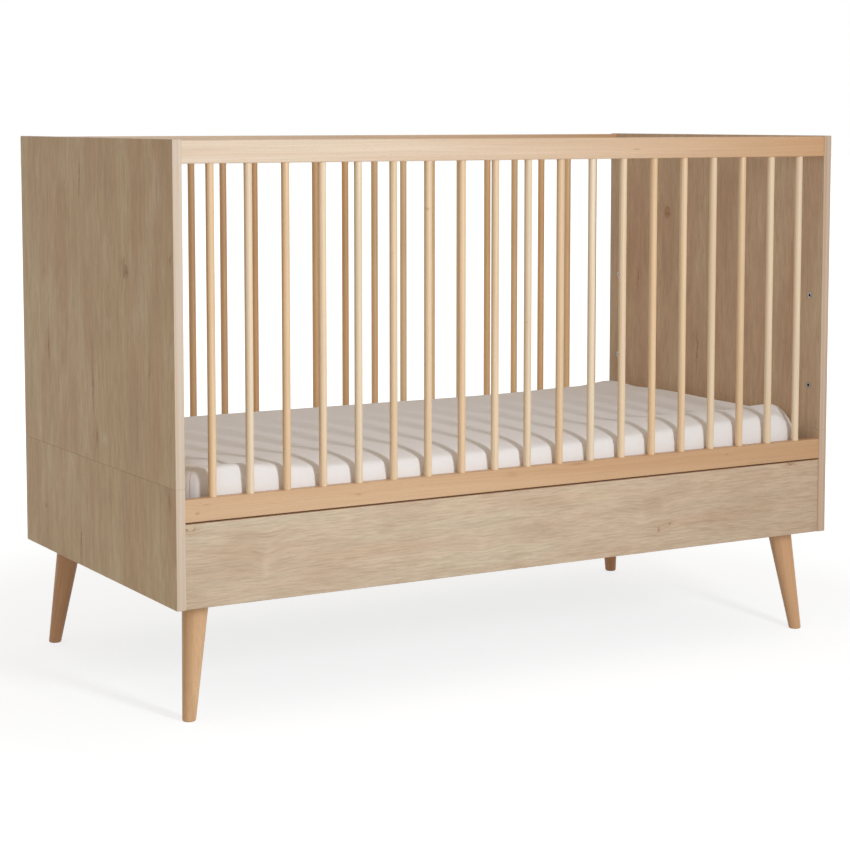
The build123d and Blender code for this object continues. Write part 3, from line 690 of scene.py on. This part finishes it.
cloth = mattress.modifiers.new("blown cloth", "CLOTH")
cloth.settings.quality = 4
cloth.settings.mass = CLOTH_MASS
cloth.settings.use_pressure = True
cloth.settings.uniform_pressure_force = CLOTH_PRESSURE
cloth.settings.vertex_group_mass = "held"
cloth.settings.effector_weights.gravity = 0.0
cloth.collision_settings.use_collision = False
for step in range(1, CLOTH_STEPS + 1):
    scene.frame_set(step)
bpy.ops.object.modifier_apply(modifier=cloth.name)
scene.frame_set(1)


def ease(value, start, end):
    """0 before start, 1 after end, smooth between."""
    share = min(1.0, max(0.0, (value - start) / (end - start)))
    return share * share * (3 - 2 * share)


for point, was in zip(mattress.data.vertices, start):
    moved = point.co - was
    co = was + moved * min(1.0, SHEET_SWELL / max(moved.length, 1e-9))
    # the sheet crowns the middle and lifts the rim, most at the front, to the right and at the front left
    right = ease(co.x, *RIGHT_RISE)
    front = ease(-co.y, *FRONT_RISE) * (FRONT_LOFT + RIGHT_LOFT * right)
    front += LEFT_LOFT * ease(-co.x, *LEFT_RISE) * ease(-co.y, *LEFT_RIM)
    rear_right = REAR_RIGHT_SHARE * RIGHT_LOFT * ease(co.x, *REAR_RIGHT_RISE)
    rear = ease(co.y, *REAR_RISE) * (REAR_LOFT + rear_right)
    end = ease(abs(co.x), *END_RISE) * (END_LOFT + END_RIGHT_SHARE * RIGHT_LOFT * right)
    crown = CROWN * (1 - (co.x / high.x) ** 2) * (1 - (co.y / high.y) ** 2)
    loft = math.hypot(front, rear, end) + crown
    loft += WAVES * noise.noise((co.x * SLACK_X, co.y * SLACK_Y, SLACK_DRAW))
    # it rounds off the corners and pulls them down
    out_x = abs(co.x) - (high.x - CORNER_RADIUS)
    out_y = abs(co.y) - (high.y - CORNER_RADIUS)
    if min(out_x, out_y) > 0:
        reach, slant = math.hypot(out_x, out_y), math.sin(2 * math.atan2(out_y, out_x))
        limit = CORNER_RADIUS + (SHARP_REACH - CORNER_RADIUS) * slant ** 1.5
        near = ease(reach / limit, 0.3, 1.0)
        pull = 1 - near * (1 - CORNER_RADIUS / limit)
        co.x = math.copysign(high.x - CORNER_RADIUS + out_x * pull, co.x)
        co.y = math.copysign(high.y - CORNER_RADIUS + out_y * pull, co.y)
        loft -= CORNER_FALL * (1 + RIGHT_CORNER_FALL * right) * near * slant
    # it squares the round of the top edge along the sides
    over = max(abs(co.y) - (high.y - EDGE_ROUND), 0.0)
    up = max(co.z - (high.z - EDGE_ROUND), 0.0)
    if over > 0 and up > 0:
        slant = math.hypot(over, up)
        square = (over / slant) ** EDGE_SQUARE + (up / slant) ** EDGE_SQUARE
        square **= -1 / EDGE_SQUARE
        co.y = math.copysign(high.y - EDGE_ROUND + over * square, co.y)
        co.z = high.z - EDGE_ROUND + up * square
    # and the sides stand out a little at half height
    belly = math.sin(math.pi * min(1.0, max(0.0, (co.z - low.z) / (high.z - low.z))))
    co.y += math.copysign(SIDE_BULGE * belly * ease(abs(co.y), *BULGE_RISE), co.y)
    co.z += loft * ease(co.z, low.z + LOFT_FROM, high.z - LOFT_FULL)
    point.co = co
calm = mattress.modifiers.new("calm", "SMOOTH")
calm.factor, calm.iterations = 0.5, 2
bpy.ops.object.modifier_apply(modifier=calm.name)
wide = max(abs(point.co.x) for point in mattress.data.vertices)
deep = max(abs(point.co.y) for point in mattress.data.vertices)
for point in mattress.data.vertices:
    point.co.x *= SHEET_HALF_LENGTH / wide
    point.co.y *= SHEET_HALF_WIDTH / deep
    point.co.z = max(low.z, point.co.z)
finer = mattress.modifiers.new("finer", "SUBSURF")
finer.levels = finer.render_levels = 1
bpy.ops.object.modifier_apply(modifier=finer.name)
bpy.ops.object.shade_smooth()

# slubby cotton with soft wrinkles, and a sewn seam slanting out to each corner, its groove darkened with
# painted shade
cotton, t, shader, place = finish_of("cotton sheet", Roughness=0.9, Specular_IOR_Level=0.2,
                                     Sheen_Weight=0.25, Sheen_Roughness=0.5)
x, y, z = directions(t, place)
end = figure(t, figure(t, x, do="ABSOLUTE"), SEAM_END, do="SUBTRACT")
side = figure(t, figure(t, y, do="ABSOLUTE"), SEAM_SIDE, do="SUBTRACT")
askew = figure(t, figure(t, end, side, do="SUBTRACT"), 1 / SEAM_WIDTH)
seam = fading(t, figure(t, askew, askew))
seam = figure(t, seam, between(t, figure(t, end, side, do="MINIMUM"), *SEAM_START))
wrinkle = cloud(t, place, (9, 6, 14), 3, 0.5)
slub = cloud(t, place, (260, 900, 260), 2, 0.6)
colour = tinted(t, between(t, slub, 0.35, 0.7, 0.0, 0.35), COTTON_WHITE, COTTON_SLUB)
# painted shade in the seam's groove
colour = tinted(t, figure(t, seam, 0.22), colour, SEAM_PAINTED_SHADE)
t.links.new(colour, shader.inputs["Base Color"])
rise = figure(t, wrinkle, figure(t, slub, 0.03), do="ADD")
raised(t, shader, figure(t, rise, figure(t, seam, 0.25), do="SUBTRACT"), COTTON_RELIEF)
mattress.data.materials.append(cotton)
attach(mattress, "mattress")
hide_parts("mattress")


# Studio. A white floor that keeps the cot's soft shadow and runs out to plain white, an even, slightly
# warm light all round, and one lamp in front, placed as the shadows of the spindles show.
FLOOR_SIZE, FLOOR_PAPER = 80, (0.80, 0.80, 0.80, 1)
# the floor as it is seen: half paper and half its own glow, which is lower near the cot so the shadow shows
FLOOR_SEEN, FLOOR_GLOW = (0.50, 0.50, 0.50, 1), (0.96, 0.98, 1.0, 1)
GLOW_REACH, GLOW_NEAR, GLOW_FAR = (1.0, 2.2), 0.73, 1.0
ROOM_LIGHT, ROOM_WHITE = (1.0, 0.925, 0.835, 1), (1, 1, 1, 1)
ROOM_LEVEL, ROOM_OVERHEAD = 0.350, 0.530
LAMP_PLACE, LAMP_AIM = Vector((0.20, -3.30, 1.45)), Vector((-0.6, -0.37, 0.75))
LAMP_POWER, LAMP_WIDTH, LAMP_HEIGHT, LAMP_SPREAD = 22.8, 0.42, 1.1, 120
LAMP_COLOUR = (0.93, 0.98, 1.04)


def background_seen(tree):
    """1 where the camera, a gloss or a glass looks at the background, 0 where it only gives light."""
    ray = tree.nodes.new("ShaderNodeLightPath").outputs
    looked_at = figure(tree, ray["Is Camera Ray"], ray["Is Glossy Ray"], do="ADD")
    return figure(tree, looked_at, ray["Is Transmission Ray"], do="ADD", limit=True)


bpy.ops.object.select_all(action="DESELECT")
bpy.ops.mesh.primitive_plane_add(size=FLOOR_SIZE)
floor = bpy.context.object
floor.name = "studio_floor"
white_floor = bpy.data.materials.new("white floor")
white_floor.use_nodes = True
t = white_floor.node_tree
t.nodes.clear()
place = t.nodes.new("ShaderNodeTexCoord").outputs["Object"]
away = lay(t, "VectorMath", place, operation="LENGTH")
glow = lay(t, "Emission", FLOOR_GLOW, between(t, away, *GLOW_REACH, GLOW_NEAR, GLOW_FAR))
shown = lay(t, "AddShader", lay(t, "BsdfDiffuse", FLOOR_SEEN), glow)
surface = lay(t, "MixShader", background_seen(t), lay(t, "BsdfDiffuse", FLOOR_PAPER), shown)
t.links.new(surface, t.nodes.new("ShaderNodeOutputMaterial").inputs["Surface"])
floor.data.materials.append(white_floor)

studio = bpy.data.worlds.new("studio")
scene.world = studio
studio.use_nodes = True
t = studio.node_tree
light = t.nodes["Background"].inputs
seen = background_seen(t)
up = lay(t, "SeparateXYZ", t.nodes.new("ShaderNodeTexCoord").outputs["Generated"], out=2)
level = between(t, up, 0.0, 1.0, ROOM_LEVEL, ROOM_OVERHEAD)
t.links.new(figure(t, seen, level, do="MAXIMUM"), light["Strength"])
t.links.new(tinted(t, seen, ROOM_LIGHT, ROOM_WHITE), light["Color"])

lamp = bpy.data.lights.new("front lamp", "AREA")
lamp.energy, lamp.color, lamp.spread = LAMP_POWER, LAMP_COLOUR, math.radians(LAMP_SPREAD)
lamp.shape, lamp.size, lamp.size_y = "RECTANGLE", LAMP_WIDTH, LAMP_HEIGHT
front_lamp = bpy.data.objects.new("front_lamp", lamp)
front_lamp.location = LAMP_PLACE
front_lamp.rotation_euler = (LAMP_AIM - LAMP_PLACE).to_track_quat("-Z", "Y").to_euler()
scene.collection.objects.link(front_lamp)


# Camera. It stands where the photograph was taken from, off the cot's front left corner and a little above
# its top rails; a small shift keeps the uprights nearly upright in the picture.
CAMERA_PLACE = (-2.1814, -3.7149, 1.0520)
CAMERA_TILT, CAMERA_TURN = 84.537, -30.288
CAMERA_LENS, CAMERA_SENSOR, CAMERA_SHIFT = 90.932, 36, -0.12
camera = bpy.data.objects.new("camera", bpy.data.cameras.new("camera"))
camera.location = CAMERA_PLACE
camera.rotation_euler = (math.radians(CAMERA_TILT), 0, math.radians(CAMERA_TURN))
camera.data.lens, camera.data.sensor_width = CAMERA_LENS, CAMERA_SENSOR
camera.data.shift_y = CAMERA_SHIFT
scene.collection.objects.link(camera)
scene.camera = camera
scene.view_settings.view_transform = "Standard"
